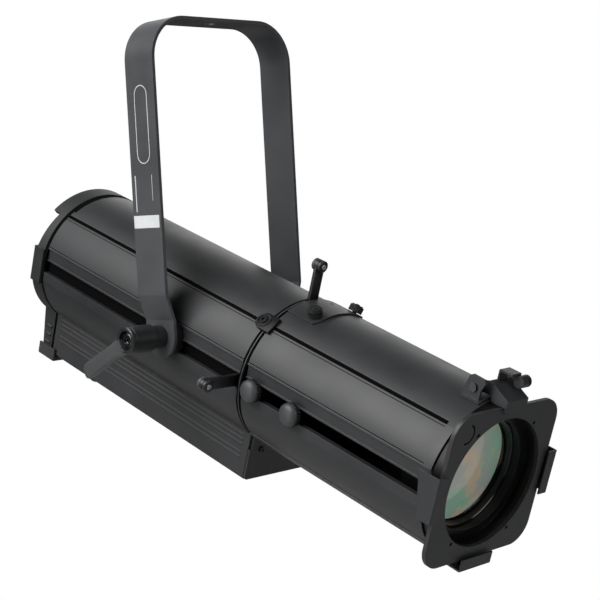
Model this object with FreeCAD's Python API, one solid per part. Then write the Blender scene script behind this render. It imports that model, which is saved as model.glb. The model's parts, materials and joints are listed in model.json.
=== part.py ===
"""Ellipsoidal stage spotlight hung on a flat-bar yoke.

Two frames are used, both in millimetres.
Yoke frame: the part's own frame. Z up, the origin at the centre of the yoke's hanging hole.
Lamp frame: the beam runs towards -Y along the optical axis, Z up, X along the tilt axis.
Lamp pieces are drawn level in the lamp frame and then tilted down about the pivot.
"""
import FreeCAD, Part
import os
from math import acos, asin, cos, degrees, pi, radians, sin, sqrt

Vector = FreeCAD.Vector

# ---- driving dimensions -------------------------------------------------
TILT = 20.1                # lamp tipped front end down, degrees
PIVOT_DROP = 273.0         # hanging hole to tilt axis
PIVOT_RISE = 2.5           # tilt axis above the optical axis

BAR_WIDTH = 37.0           # yoke flat bar
BAR_THICK = 3.0
YOKE_HALF = 81.0           # outer face of a yoke leg from the middle
YOKE_CORNER = 37.0         # outer bend radius
TAB_HALF = 74.0            # outer face of the tab below the joggle
HANG_HOLE = 6.5            # hole for an M12 bolt

TUBE = 66.0                # outer radius of the round body
WALL = 2.5
GROOVE = 46.8              # angle of the long groove above horizontal
GROOVE_HALF = 1.1          # half the groove, degrees
CHANNEL_TOP = 16.0         # side channel: upper band, slot and lower band
BAND_FACE = 62.5
SLOT_TOP = 4.5
SLOT_BOTTOM = -7.5
LOWER_BAND_FACE = 64.0
LIP_END = 58.8             # how far the slot's lips turn inwards
CLEAR_RADIUS = 56.5        # inner plates stop short of the lips
SLOT_MID = (SLOT_TOP + SLOT_BOTTOM) / 2

REAR_END = 190.0           # shells, along the beam axis
SEAM_REAR = -93.5
SEAM_FRONT = -99.5
TUBE_FRONT = -303.5

BOX_HALF = 40.0            # driver box under the lamp housing
BOX_BOTTOM = -95.3
BOX_FRONT = -96.0

CAP_START = 192.5
HOOD_END = 212.0
PANEL_FACE = 198.5

PLATE_HALF = 63.0          # front plate
PLATE_CORNER = 19.0
PLATE_FRONT = -316.0
PLATE_THICK = 3.5
OPENING = 53.5             # round opening in the front plate
FRAME_GAP = 2.2            # gap for the colour frame in front of the plate
CLIP_FACE = 70.2           # inner faces of the frame clips, for a 140 mm frame

GATE_HOLE = 28.0
BLADE_RADIUS = 56.5
BLADE_EDGE = 28.6          # inner edge of an open shutter from the axis
HANDLE_WIDTH = 10.4
HANDLE_THICK = 3.0
HANDLE_END = 98.0
CROSS_PLANE = -90.0        # near and far shutters
TOP_PLANE = -97.0
BOTTOM_PLANE = -101.0
BOTTOM_ANGLE = 150.0       # the bottom shutter's handle clears the driver box

ROD_OFFSET = 53.5          # guide rods above and below the axis
ROD_RADIUS = 2.5
CARRIAGE_RADIUS = 56.5
LENS_RADIUS = 41.0
FOCUS_PLACE = -113.0
ZOOM_PLACE = -160.5
RUNNING = 0.05             # radial clearance of a shaft in its hole

X, Y, Z = Vector(1, 0, 0), Vector(0, 1, 0), Vector(0, 0, 1)
os.makedirs("parts", exist_ok=True)


# ---- helpers ------------------------------------------------------------
def box(x0, x1, y0, y1, z0, z1):
    return Part.makeBox(x1 - x0, y1 - y0, z1 - z0, Vector(x0, y0, z0))


def rod(radius, start, end):
    """Cylinder from one point to another."""
    start, end = Vector(*start), Vector(*end)
    return Part.makeCylinder(radius, (end - start).Length, start, end - start)


def disc(radius, y0, y1, x=0.0, z=0.0):
    """Cylinder along the beam axis."""
    return rod(radius, (x, y0, z), (x, y1, z))


def ring(outer, inner, y0, y1, x=0.0, z=0.0):
    return disc(outer, y0, y1, x, z).cut(disc(inner, y0 - 1, y1 + 1, x, z))


def on_circle(radius, angle, y=0.0):
    a = radians(angle)
    return Vector(radius * cos(a), y, radius * sin(a))


def arc(radius, a0, a1, y=0.0):
    """Arc in the XZ plane, angles from +X towards +Z."""
    ends = [on_circle(radius, a, y) for a in (a0, (a0 + a1) / 2, a1)]
    return Part.Arc(*ends).toShape()


def line(p, q):
    return Part.LineSegment(Vector(*p), Vector(*q)).toShape()


def extrude(edges, direction):
    """Closed solid from an ordered loop of edges."""
    return Part.Face(Part.Wire(edges)).extrude(direction)


def polygon(points, direction):
    loop = [Vector(*p) for p in points]
    return Part.Face(Part.makePolygon(loop + loop[:1])).extrude(direction)


def arc_plate(outer, inner, a0, a1, y0, y1):
    """Curved plate: a sector of a tube along the beam axis."""
    edges = [arc(outer, a0, a1, y0),
             line(on_circle(outer, a1, y0), on_circle(inner, a1, y0)),
             arc(inner, a1, a0, y0),
             line(on_circle(inner, a0, y0), on_circle(outer, a0, y0))]
    return extrude(edges, Vector(0, y1 - y0, 0))


def rounded_rectangle(half_x, half_z, corner, y0, y1, mid_z=0.0):
    block = box(-half_x, half_x, y0, y1, mid_z - half_z, mid_z + half_z)
    upright = [e for e in block.Edges if abs(e.tangentAt(e.FirstParameter).y) > 0.9]
    return block.makeFillet(corner, upright)


def join(shapes):
    """One solid from touching or overlapping ones."""
    return shapes[0].fuse(shapes[1:]).removeSplitter() if len(shapes) > 1 else shapes[0]


def mirrored(shape):
    return shape.mirror(Vector(0, 0, 0), X)


def both_sides(shape):
    return Part.makeCompound([shape, mirrored(shape)])


def turned(shape, angle, axis=Y, centre=(0, 0, 0)):
    copy = shape.copy()
    copy.rotate(Vector(*centre), axis, angle)
    return copy


def moved(shape, x=0.0, y=0.0, z=0.0):
    copy = shape.copy()
    copy.translate(Vector(x, y, z))
    return copy


def bevelled(shape, size, wanted):
    """Fillet the edges that the test picks."""
    return shape.makeFillet(size, [e for e in shape.Edges if wanted(e)])


def rim(edge, y):
    """True for a round edge that lies in the plane at y."""
    return (isinstance(edge.Curve, Part.Circle)
            and abs(edge.BoundBox.YMin - y) < 0.01 and abs(edge.BoundBox.YMax - y) < 0.01)


def export_yoke_side(shape, name):
    """Pieces drawn in the yoke frame with the tilt axis at height 0."""
    moved(shape, z=-PIVOT_DROP).exportStep(f"parts/{name}.step")


def export_lamp(shape, name):
    """Pieces drawn in the lamp frame."""
    placed = moved(shape, z=-PIVOT_RISE)
    placed.rotate(Vector(0, 0, 0), X, TILT)
    placed.translate(Vector(0, 0, -PIVOT_DROP))
    placed.exportStep(f"parts/{name}.step")


# ---- yoke and tilt clamp (yoke frame) -----------------------------------
PIVOT_BOLT = 5.0
WASHER_THICK = 2.0
TAB_INNER = TAB_HALF - BAR_THICK
HUB_START = TAB_HALF + 12.0
HUB_END = 113.0
HUB_RADIUS = 11.8


def yoke_half_outline(offset):
    """Right half of the bar's centre run, moved in by offset from its outer face."""
    top = PIVOT_DROP - offset
    leg = YOKE_HALF - offset
    tab = TAB_HALF - offset
    bend = YOKE_CORNER - offset
    middle = Vector(YOKE_HALF - YOKE_CORNER, 0, PIVOT_DROP - YOKE_CORNER)
    corner = [middle + on_circle(bend, a) for a in (90, 45, 0)]
    knee_top, knee_foot = 36.0, 14.0
    return [line((0, 0, top), corner[0]),
            Part.Arc(*corner).toShape(),
            line(corner[2], (leg, 0, knee_top)),
            line((leg, 0, knee_top), (tab, 0, knee_foot)),
            line((tab, 0, knee_foot), (tab, 0, -BAR_WIDTH / 2))]


def make_yoke():
    outer = yoke_half_outline(0.0)
    inner = yoke_half_outline(BAR_THICK)
    tab_end = -BAR_WIDTH / 2
    edges = outer + [line((TAB_HALF, 0, tab_end), (TAB_INNER, 0, tab_end))]
    edges += list(reversed(inner))
    edges += [line((0, 0, PIVOT_DROP - BAR_THICK), (0, 0, PIVOT_DROP))]
    half = Part.Face(Part.Wire(Part.sortEdges(edges)[0])).extrude(Vector(0, BAR_WIDTH, 0))
    half = moved(half, y=-BAR_WIDTH / 2)
    bar = half.fuse(mirrored(half)).removeSplitter()
    # The tab ends are round about the pivot.
    reach = YOKE_HALF + 5
    blank = box(-reach, reach, -BAR_WIDTH, BAR_WIDTH, -BAR_WIDTH, 0)
    keep = rod(BAR_WIDTH / 2, (-reach, 0, 0), (reach, 0, 0))
    bar = bar.cut(blank.cut(keep))
    bar = bar.cut(rod(PIVOT_BOLT + RUNNING, (-reach, 0, 0), (reach, 0, 0)))
    top = PIVOT_DROP
    bar = bar.cut(rod(HANG_HOLE, (0, 0, top - 10), (0, 0, top + 10)))
    return bar


def make_pivot_washers():
    """Friction discs inside the tabs, and the spacer under the clamp handle."""
    hole = rod(PIVOT_BOLT + RUNNING, (-120, 0, 0), (120, 0, 0))
    inside = rod(17.0, (TAB_INNER - WASHER_THICK, 0, 0), (TAB_INNER, 0, 0)).cut(hole)
    spacer = rod(9.8, (-TAB_HALF, 0, 0), (-HUB_START + 0.3, 0, 0)).cut(hole)
    return Part.makeCompound([inside, mirrored(inside), spacer])


def make_clamp_handle():
    """Round hub with a lever that leaves it at the outer end."""
    hub = rod(HUB_RADIUS, (-HUB_START, 0, 0), (-HUB_END, 0, 0))
    hub = bevelled(hub, 0.8, lambda e: isinstance(e.Curve, Part.Circle))
    collar_line = rod(HUB_RADIUS + 1, (-HUB_END + 3.2, 0, 0), (-HUB_END + 4.2, 0, 0))
    hub = hub.cut(collar_line.cut(rod(HUB_RADIUS - 0.6, (-HUB_END, 0, 0), (-HUB_START, 0, 0))))
    reach, near_half, far_half = 64.0, 6.6, 7.4
    arm = [line((-HUB_END, 4, near_half), (-HUB_END, reach, far_half)),
           Part.Arc(Vector(-HUB_END, reach, far_half), Vector(-HUB_END, reach + far_half, 0),
                    Vector(-HUB_END, reach, -far_half)).toShape(),
           line((-HUB_END, reach, -far_half), (-HUB_END, 4, -near_half)),
           line((-HUB_END, 4, -near_half), (-HUB_END, 4, near_half))]
    arm = extrude(arm, Vector(9.0, 0, 0))
    arm = bevelled(arm, 3.0, lambda e: e.BoundBox.YMax > 5 and e.BoundBox.XLength < 0.1)
    arm = turned(arm, -26.0, X)
    handle = join([hub, arm])
    handle = handle.cut(rod(PIVOT_BOLT + RUNNING, (-100, 0, 0), (-HUB_START + 5, 0, 0)))
    return handle.cut(rod(8.4, (-HUB_END + 6, 0, 0), (-HUB_END - 1, 0, 0)))


def make_clamp_screw():
    """Socket cap screw sunk in the end of the hub."""
    head = rod(6.4, (-HUB_END + 6, 0, 0), (-HUB_END + 2, 0, 0))
    socket = rod(3.2, (-HUB_END + 4.5, 0, 0), (-HUB_END - 1, 0, 0))
    return bevelled(head, 0.5, lambda e: e.BoundBox.XMax < -HUB_END + 2.1).cut(socket)


export_yoke_side(make_yoke(), "yoke")
export_yoke_side(make_pivot_washers(), "pivot_washers")
export_yoke_side(make_clamp_handle(), "clamp_handle")
export_yoke_side(make_clamp_screw(), "clamp_screw")


# ---- body shells (lamp frame) -------------------------------------------
INNER = TUBE - WALL


def groove_strip(outer, y0, y1):
    """Strip under or across the groove on one side."""
    return arc_plate(outer, INNER, GROOVE - GROOVE_HALF, GROOVE + GROOVE_HALF, y0, y1)


def crown_shell(y0, y1, groove_end=None):
    """Top of the body, with a ledge that closes the groove on each side from below.

    The groove can stop at groove_end, short of the front.
    """
    shell = arc_plate(TUBE, INNER, GROOVE + GROOVE_HALF, 180 - GROOVE - GROOVE_HALF, y0, y1)
    strips = [groove_strip(INNER + 0.9, y0, y1)]
    if groove_end is not None:
        strips.append(groove_strip(TUBE, y0, groove_end))
    return join([shell] + strips + [mirrored(s) for s in strips])


def side_shell(y0, y1, slot_back=SLOT_TOP):
    """Curved side with a sunk flat band and the slot's upper lip.

    The lip's end can run down to slot_back, which closes the back of the slot.
    """
    inner_face = BAND_FACE - WALL
    top_angle = GROOVE - GROOVE_HALF
    band_angle = degrees(asin(CHANNEL_TOP / TUBE))
    inner_angle = degrees(acos(inner_face / INNER))
    bead, lip = 0.8, 2.0
    inner_start = on_circle(INNER, inner_angle, y0)
    corners = [on_circle(TUBE, band_angle, y0),
               Vector(BAND_FACE, y0, CHANNEL_TOP),
               Vector(BAND_FACE, y0, SLOT_TOP + 1.6),
               Vector(BAND_FACE + bead, y0, SLOT_TOP + 1.2),
               Vector(BAND_FACE + bead, y0, SLOT_TOP),
               Vector(LIP_END, y0, SLOT_TOP),
               Vector(LIP_END, y0, slot_back),
               Vector(LIP_END - lip, y0, slot_back),
               Vector(LIP_END - lip, y0, SLOT_TOP + lip),
               Vector(inner_face, y0, SLOT_TOP + lip),
               inner_start]
    edges = [arc(TUBE, top_angle, band_angle, y0)]
    edges += [line(p, q) for p, q in zip(corners, corners[1:]) if p != q]
    edges += [arc(INNER, inner_angle, top_angle, y0),
              line(on_circle(INNER, top_angle, y0), on_circle(TUBE, top_angle, y0))]
    return extrude(edges, Vector(0, y1 - y0, 0))


def lower_shell(y0, y1):
    """Trough from the slot's lower lip on one side, round the bottom, to the other."""
    inner_face = LOWER_BAND_FACE - WALL
    lip = 2.0
    outer_angle = degrees(acos(LOWER_BAND_FACE / TUBE))
    inner_angle = degrees(acos(inner_face / INNER))

    def side(sign):
        return [(sign * inner_face, y0, -INNER * sin(radians(inner_angle))),
                (sign * inner_face, y0, SLOT_BOTTOM - lip),
                (sign * LIP_END, y0, SLOT_BOTTOM - lip),
                (sign * LIP_END, y0, SLOT_BOTTOM),
                (sign * LOWER_BAND_FACE, y0, SLOT_BOTTOM),
                (sign * LOWER_BAND_FACE, y0, -TUBE * sin(radians(outer_angle)))]

    right, left = side(1), side(-1)
    edges = [line(p, q) for p, q in zip(right, right[1:])]
    edges += [arc(TUBE, -outer_angle, outer_angle - 180, y0)]
    edges += [line(q, p) for p, q in zip(left, left[1:])][::-1]
    edges += [arc(INNER, inner_angle - 180, -inner_angle, y0)]
    return extrude(edges, Vector(0, y1 - y0, 0))


def belly(y0, y1):
    """Thicker underside of the front tube, set off by a groove on each side."""
    pad = arc_plate(TUBE + 0.9, TUBE - 0.5, -133, -47, y0, y1)
    cut = arc_plate(TUBE + 2, TUBE - 1.2, -47, -45.2, y0 - 1, y1 + 1)
    return pad, [cut, mirrored(cut)]


def handle_notch(plane, angle=0.0):
    """Room for a shutter's stem, open towards the seam."""
    half = HANDLE_WIDTH / 2 + 0.8
    notch = box(-half, half, plane - HANDLE_THICK / 2 - 0.8, -93, 55, 80)
    return turned(notch, angle, Y)


THUMB_ANGLE = {-1: 18.5, 1: 22.5}  # thumbscrews either side of the top, near and far
THUMB_PLACE = -123.0
THUMB_SHANK = 2.0
THUMB_RADIUS = 6.1


def on_top(radius, side, y=THUMB_PLACE):
    return tuple(on_circle(radius, 90 - side * THUMB_ANGLE[side], y))


thumb_holes = [rod(THUMB_SHANK + RUNNING, on_top(50, s), on_top(80, s)) for s in (-1, 1)]

export_lamp(crown_shell(SEAM_REAR, REAR_END), "rear_crown_shell")
# The housing's slot is blind; only the front tube's slot and the shutter gap are open.
open_end = side_shell(SEAM_REAR, CROSS_PLANE + 5)
closed_run = side_shell(CROSS_PLANE + 5, REAR_END, SLOT_BOTTOM + 0.3)
export_lamp(both_sides(join([open_end, closed_run])), "rear_side_shells")
export_lamp(lower_shell(SEAM_REAR, REAR_END), "rear_lower_shell")
front_crown = crown_shell(TUBE_FRONT, SEAM_FRONT, -295.0).cut(thumb_holes)
export_lamp(front_crown, "front_crown_shell")
export_lamp(both_sides(side_shell(TUBE_FRONT, SEAM_FRONT)), "front_side_shells")
pad, pad_grooves = belly(TUBE_FRONT, SEAM_FRONT)
front_lower = join([lower_shell(TUBE_FRONT, SEAM_FRONT), pad]).cut(pad_grooves)
front_lower = front_lower.cut(handle_notch(BOTTOM_PLANE, BOTTOM_ANGLE))
export_lamp(front_lower, "front_lower_shell")


# ---- driver box under the lamp ------------------------------------------
def make_driver_box():
    """Folded trough with shallow ribs pressed along both sides."""
    outer = bevelled(box(-BOX_HALF, BOX_HALF, BOX_FRONT, REAR_END, BOX_BOTTOM, -40), 3.0,
                     lambda e: e.BoundBox.ZMax < BOX_BOTTOM + 1 and e.BoundBox.YLength > 100)
    inside = box(-BOX_HALF + WALL, BOX_HALF - WALL, BOX_FRONT - 1, REAR_END + 1,
                 BOX_BOTTOM + WALL, -30)
    ribs = []
    for height in (-77.5, -73.0, -65.5, -61.0, -56.5):
        for side in (-1, 1):
            x = side * BOX_HALF
            run = [(x, BOX_FRONT + 8, height - 1.4), (x + side * 0.45, BOX_FRONT + 8, height),
                   (x, BOX_FRONT + 8, height + 1.4)]
            ribs.append(polygon(run, Vector(0, REAR_END - BOX_FRONT - 16, 0)))
    vents = []
    for y in range(-60, 150, 30):
        for x in (-18, 0, 18):
            vents.append(box(x - 6, x + 6, y, y + 3, BOX_BOTTOM - 1, BOX_BOTTOM + WALL + 1))
    trough = outer.cut(inside).fuse(ribs)
    return trough.cut(vents + [disc(TUBE + 0.05, BOX_FRONT - 1, REAR_END + 1)])


def make_box_front():
    """Front plate of the driver box, with a relief at each upper corner."""
    plate = box(-BOX_HALF + 0.4, BOX_HALF - 0.4, BOX_FRONT - WALL, BOX_FRONT, BOX_BOTTOM + 0.4, -40)
    plate = bevelled(plate, 3.0, lambda e: e.BoundBox.ZMax < BOX_BOTTOM + 1
                     and e.BoundBox.YLength > 1)
    relief = box(BOX_HALF - 2.6, BOX_HALF, BOX_FRONT - 5, BOX_FRONT + 1, -67, -40)
    return plate.cut([disc(TUBE + 0.05, -110, -90), relief, mirrored(relief)])


export_lamp(make_driver_box(), "driver_box")
export_lamp(make_box_front(), "box_front_plate")


# ---- rear cap and panel -------------------------------------------------
FAN_HEIGHT = 26.0
FAN_OPENING = 31.0
SOCKET_SPREAD = 20.0
DATA_HEIGHT = -46.5
POWER_HEIGHT = -76.0
BUTTON_HEIGHT = -29.6
DISPLAY_HEIGHT = -17.0
BUTTON_RADIUS = 3.4
button_places = [(x, BUTTON_HEIGHT) for x in (-18, -6, 6, 18)]


def rear_outline(grow, y0, y1):
    """Round body joined to the driver box, both grown by the same amount."""
    barrel = disc(TUBE + grow, y0, y1)
    half = BOX_HALF + grow
    trunk = box(-half, half, y0, y1, BOX_BOTTOM - grow, 0)
    return barrel.fuse(trunk).removeSplitter()


def make_rear_cap():
    """Moulded end cover: hood over the crown, tabs over the side channels, open back."""
    side_view = [(CAP_START, 70), (201, 70), (201, 45), (207.5, -15), (211, -50), (206, -88),
                 (206, BOX_BOTTOM - 2), (CAP_START, BOX_BOTTOM - 2)]
    profile = polygon([(-80, y, z) for y, z in side_view], Vector(160, 0, 0))
    shell = rear_outline(0.6, CAP_START, HOOD_END).common(profile)
    hood = arc_plate(TUBE + 0.6, INNER - 1.5, GROOVE - 2, 182 - GROOVE, CAP_START, HOOD_END)
    hood = bevelled(hood, 1.2, lambda e: abs(e.BoundBox.YMin - HOOD_END) < 0.01)
    tab = box(58.0, TUBE + 0.6, CAP_START, 207.0, -20, 14)
    bead_ends = [(BOX_HALF + 0.4, y) for y in (CAP_START + 3, 203)]
    beads = [rod(1.5, (*bead_ends[0], z), (*bead_ends[1], z)) for z in (-69, -77, -85)]
    hollow = rear_outline(-3.0, CAP_START - 1, HOOD_END + 1)
    body = join([shell.cut(hollow), hood, tab, mirrored(tab)] + beads + [mirrored(b) for b in beads])
    return body.cut(disc(TUBE - 5, CAP_START - 1, HOOD_END + 1))


def make_rear_panel():
    """Flat panel inside the cap, cut for everything that it carries."""
    panel = rear_outline(-5.3, PANEL_FACE - 3, PANEL_FACE)
    cuts = [disc(FAN_OPENING, 190, 210, z=FAN_HEIGHT),
            box(-25, 25, 190, 210, DISPLAY_HEIGHT - 7.5, DISPLAY_HEIGHT + 7.5)]
    cuts += [disc(BUTTON_RADIUS + 0.3, 190, 210, x, z) for x, z in button_places]
    cuts += [disc(11.0, 190, 210, s * SOCKET_SPREAD, DATA_HEIGHT) for s in (-1, 1)]
    cuts += [disc(12.0, 190, 210, s * SOCKET_SPREAD, POWER_HEIGHT) for s in (-1, 1)]
    cuts += [disc(5.5, 190, 210, 0, POWER_HEIGHT)]
    return panel.cut(cuts)


def make_socket(radius, x, z):
    """Round chassis socket: flanged cup that a plug fills."""
    shell = disc(radius, PANEL_FACE - 16, PANEL_FACE, x, z)
    flange = ring(radius + 1.6, radius - 1.8, PANEL_FACE, PANEL_FACE + 1.6, x, z)
    well = disc(radius - 1.8, PANEL_FACE - 11, PANEL_FACE + 3, x, z)
    return shell.cut(well).fuse(flange).removeSplitter()


def make_rear_sockets():
    data = [make_socket(11.0, s * SOCKET_SPREAD, DATA_HEIGHT) for s in (-1, 1)]
    power = [make_socket(12.0, s * SOCKET_SPREAD, POWER_HEIGHT) for s in (-1, 1)]
    return Part.makeCompound(data + power)


def make_fuse_holder():
    cap = disc(5.4, PANEL_FACE - 14, PANEL_FACE + 4, 0, POWER_HEIGHT)
    slot = box(-6, 6, PANEL_FACE + 2.6, PANEL_FACE + 5, POWER_HEIGHT - 0.7, POWER_HEIGHT + 0.7)
    return cap.cut(slot)


def make_button(x, z):
    stem = disc(BUTTON_RADIUS, PANEL_FACE - 1.5, PANEL_FACE + 2.5, x, z)
    stem = bevelled(stem, 0.8, lambda e: rim(e, PANEL_FACE + 2.5))
    return stem.fuse(disc(BUTTON_RADIUS - 1.6, PANEL_FACE - 6, PANEL_FACE - 1.5, x, z))


def make_gasket():
    return rear_outline(-1.6, REAR_END + 0.1, CAP_START).cut(
        rear_outline(-3.8, REAR_END - 1, CAP_START + 1))


def make_bumper_feet():
    """Moulded bumpers under the cap's lower corners."""
    foot = box(30.0, BOX_HALF + 2.6, 184.0, 209.0, BOX_BOTTOM - 5.5, BOX_BOTTOM - 0.1)
    side = box(BOX_HALF + 0.65, BOX_HALF + 2.6, 184.0, 209.0, BOX_BOTTOM - 1, BOX_BOTTOM + 7)
    foot = join([foot, side])
    foot = bevelled(foot, 1.9, lambda e: e.BoundBox.ZMax < BOX_BOTTOM - 5)
    foot = foot.cut(rear_outline(0.65, 180, 215))
    return both_sides(foot)


def make_display():
    glass = box(-24.8, 24.8, PANEL_FACE - 3, PANEL_FACE + 0.6, DISPLAY_HEIGHT - 7.3,
                DISPLAY_HEIGHT + 7.3)
    return bevelled(glass, 0.5, lambda e: abs(e.BoundBox.YMin - PANEL_FACE - 0.6) < 0.01)


export_lamp(make_rear_cap(), "rear_cap")
export_lamp(make_rear_panel(), "rear_panel")
export_lamp(make_rear_sockets(), "rear_sockets")
export_lamp(make_fuse_holder(), "fuse_holder")
export_lamp(make_display(), "display_window")
export_lamp(make_gasket(), "rear_gasket")
export_lamp(make_bumper_feet(), "bumper_feet")
for number, (x, z) in enumerate(button_places, 1):
    export_lamp(make_button(x, z), f"menu_button_{number}")


# ---- fan ----------------------------------------------------------------
FAN_FRONT, FAN_REAR = 174.0, 192.0
FAN_SHAFT = 2.5


def make_fan_frame():
    housing = ring(34.5, 32.0, FAN_FRONT, FAN_REAR, z=FAN_HEIGHT)
    motor = disc(11.0, FAN_FRONT, FAN_FRONT + 3, z=FAN_HEIGHT)
    shaft = disc(FAN_SHAFT, FAN_FRONT, FAN_REAR - 3, z=FAN_HEIGHT)
    strut = box(-1.5, 1.5, FAN_FRONT, FAN_FRONT + 3, FAN_HEIGHT + 10, FAN_HEIGHT + 33)
    centre = (0, 0, FAN_HEIGHT)
    struts = [turned(strut, a, Y, centre) for a in (45, 135, 225, 315)]
    return join([housing, motor, shaft] + struts)


def make_fan_rotor():
    hub = disc(12.5, FAN_FRONT + 4, FAN_REAR - 2, z=FAN_HEIGHT)
    blade = box(-1.0, 1.0, FAN_FRONT + 5, FAN_REAR - 3, FAN_HEIGHT + 11, FAN_HEIGHT + 30.5)
    blade = turned(blade, 38, Z, (0, (FAN_FRONT + FAN_REAR) / 2, 0))
    swept = disc(30.5, FAN_FRONT + 4, FAN_REAR - 2, z=FAN_HEIGHT)
    centre = (0, 0, FAN_HEIGHT)
    blades = [turned(blade, 360 * k / 7, Y, centre) for k in range(7)]
    rotor = join([hub] + blades).common(swept)
    return rotor.cut(disc(FAN_SHAFT + RUNNING, FAN_FRONT, FAN_REAR - 3 + 0.5, z=FAN_HEIGHT))


def make_fan_grille():
    """Ring guard over the fan opening."""
    y0, y1 = PANEL_FACE, PANEL_FACE + 2
    hoops = [ring(r + 1, r - 1, y0, y1, z=FAN_HEIGHT) for r in (6, 12, 18, 24, 30, 33)]
    spoke = box(-1.2, 1.2, y0, y1, FAN_HEIGHT, FAN_HEIGHT + 33)
    spokes = [turned(spoke, a, Y, (0, 0, FAN_HEIGHT)) for a in (0, 90, 180, 270)]
    return join(hoops + spokes)


export_lamp(make_fan_frame(), "fan_frame")
export_lamp(make_fan_rotor(), "fan_rotor")
export_lamp(make_fan_grille(), "fan_grille")


# ---- light engine and electronics ---------------------------------------
def make_heat_sink():
    channel = box(LIP_END - 2.4, 70, 90, 120, SLOT_BOTTOM - 3, SLOT_TOP + 3)
    flat = box(BAND_FACE - WALL - 0.2, 70, 90, 120, -20, 22)
    base = disc(INNER - 0.2, 100, 107).cut([channel, flat, mirrored(channel), mirrored(flat)])
    fins = [box(x - 1, x + 1, 106, 168, -54, 54) for x in range(-45, 46, 9)]
    fins.append(box(-50, 50, 106, 110, -54, 54))
    limit = disc(56.0, 100, 170)
    return join([base, join(fins).common(limit)])


def make_led_board():
    board = disc(40.0, 97.0, 100.0)
    chips = [box(x - 2.6, x + 2.6, 95.0, 97.0, z - 2.6, z + 2.6)
             for x in range(-21, 22, 7) for z in range(-21, 22, 7)]
    return board.fuse([c for c in chips if sqrt(c.CenterOfMass.x ** 2 + c.CenterOfMass.z ** 2) < 26])


def make_mixing_optic():
    """Tapered light mixer with a flange, and the condenser at its exit."""
    mixer = Part.makeCone(29.0, 24.0, 90, Vector(0, 94, 0), Vector(0, -1, 0))
    flange = disc(54.0, 10, 14)
    condenser = disc(40.0, -14, 4).common(Part.makeSphere(60, Vector(0, 46, 0)))
    return join([mixer, flange, condenser])


def make_power_supply():
    case = box(-33, 33, 10, 150, BOX_BOTTOM + WALL + 0.2, -68)
    slots = [box(-34, 34, y, y + 2, -74, -60) for y in range(20, 145, 9)]
    return case.cut(slots)


def make_control_board():
    board = box(-33, 33, -80, -10, -80, -78)
    chips = [box(-20, -6, -60, -46, -78, -74), box(5, 25, -70, -40, -78, -70),
             box(-25, -8, -35, -20, -78, -66)]
    legs = [rod(2.5, (x, y, BOX_BOTTOM + WALL), (x, y, -80)) for x in (-29, 29) for y in (-76, -14)]
    return join([board] + chips + legs)


export_lamp(make_heat_sink(), "heat_sink")
export_lamp(make_led_board(), "led_board")
export_lamp(make_mixing_optic(), "mixing_optic")
export_lamp(make_power_supply(), "power_supply")
export_lamp(make_control_board(), "control_board")


# ---- gate and shutters --------------------------------------------------
def make_gate_plates():
    """Aperture plate between the shutters and a retainer each side of them."""
    plates = [ring(CLEAR_RADIUS, GATE_HOLE, -94.9, -92.0),
              ring(57.0, GATE_HOLE + 1, -88.0, -85.5),
              ring(57.0, GATE_HOLE + 1, -105.5, -103.0)]
    rods = [disc(ROD_RADIUS, -110, -100, 0, s * ROD_OFFSET) for s in (-1, 1)]
    return Part.makeCompound([plates[0], plates[1], plates[2].cut(rods)])


def make_shutter(plane, angle, grip_rear, grip_front, middle=0.0, end=HANDLE_END):
    """Blade, stem and round grip, drawn upright and turned about the beam axis."""
    blade = disc(BLADE_RADIUS, plane - 0.8, plane + 0.8)
    blade = blade.common(box(-70, 70, plane - 1, plane + 1, BLADE_EDGE, 70))
    half = HANDLE_WIDTH / 2
    stem = box(-half, half, plane - HANDLE_THICK / 2, plane + HANDLE_THICK / 2, 52, end)
    stem = moved(stem, x=middle)
    grip = disc(5.6, plane - grip_front, plane + grip_rear, middle, end)
    return turned(join([blade, stem, grip]), angle, Y)


seam_ring = ring(TUBE, LIP_END - 0.2, SEAM_FRONT + 0.8, SEAM_REAR - 0.8)
export_lamp(seam_ring.cut(handle_notch(TOP_PLANE)), "seam_ring")
export_lamp(make_gate_plates(), "gate_plates")
export_lamp(make_shutter(TOP_PLANE, 0, 4.0, 4.0, end=97.0), "shutter_top")
export_lamp(make_shutter(BOTTOM_PLANE, BOTTOM_ANGLE, 1.4, 6.0), "shutter_bottom")
export_lamp(make_shutter(CROSS_PLANE, -90, 4.0, 4.0, SLOT_MID), "shutter_near")
export_lamp(make_shutter(CROSS_PLANE, 90, 4.0, 4.0, -SLOT_MID), "shutter_far")


# ---- lenses and their carriages -----------------------------------------
KNOB_FACE = 73.8
KNOB_BACK = 64.9
KNOB_RADIUS = 10.5
SCREW_DEPTH = 47.0


def make_lens(radius, middle, edge, bulge):
    """Biconvex lens: a short cylinder between two spherical faces."""
    ball = (radius ** 2 + bulge ** 2) / (2 * bulge)
    half = edge / 2
    front = Part.makeSphere(ball, Vector(0, middle - half - bulge + ball, 0))
    back = Part.makeSphere(ball, Vector(0, middle + half + bulge - ball, 0))
    blank = disc(radius, middle - half - bulge - 1, middle + half + bulge + 1)
    return blank.common(front).common(back)


def make_carriage(place):
    """Lens ring on the guide rods, with a threaded boss for its knob."""
    body = ring(CARRIAGE_RADIUS, LENS_RADIUS + 0.1, place - 6, place + 6)
    lip = ring(LENS_RADIUS + 1, LENS_RADIUS - 2, place + 4, place + 6)
    holes = [disc(ROD_RADIUS + RUNNING, place - 10, place + 10, 0, s * ROD_OFFSET)
             for s in (-1, 1)]
    boss = rod(3.0 + RUNNING, (-SCREW_DEPTH, place, SLOT_MID), (-CARRIAGE_RADIUS - 5, place, SLOT_MID))
    return join([body, lip]).cut(holes + [boss])


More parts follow.
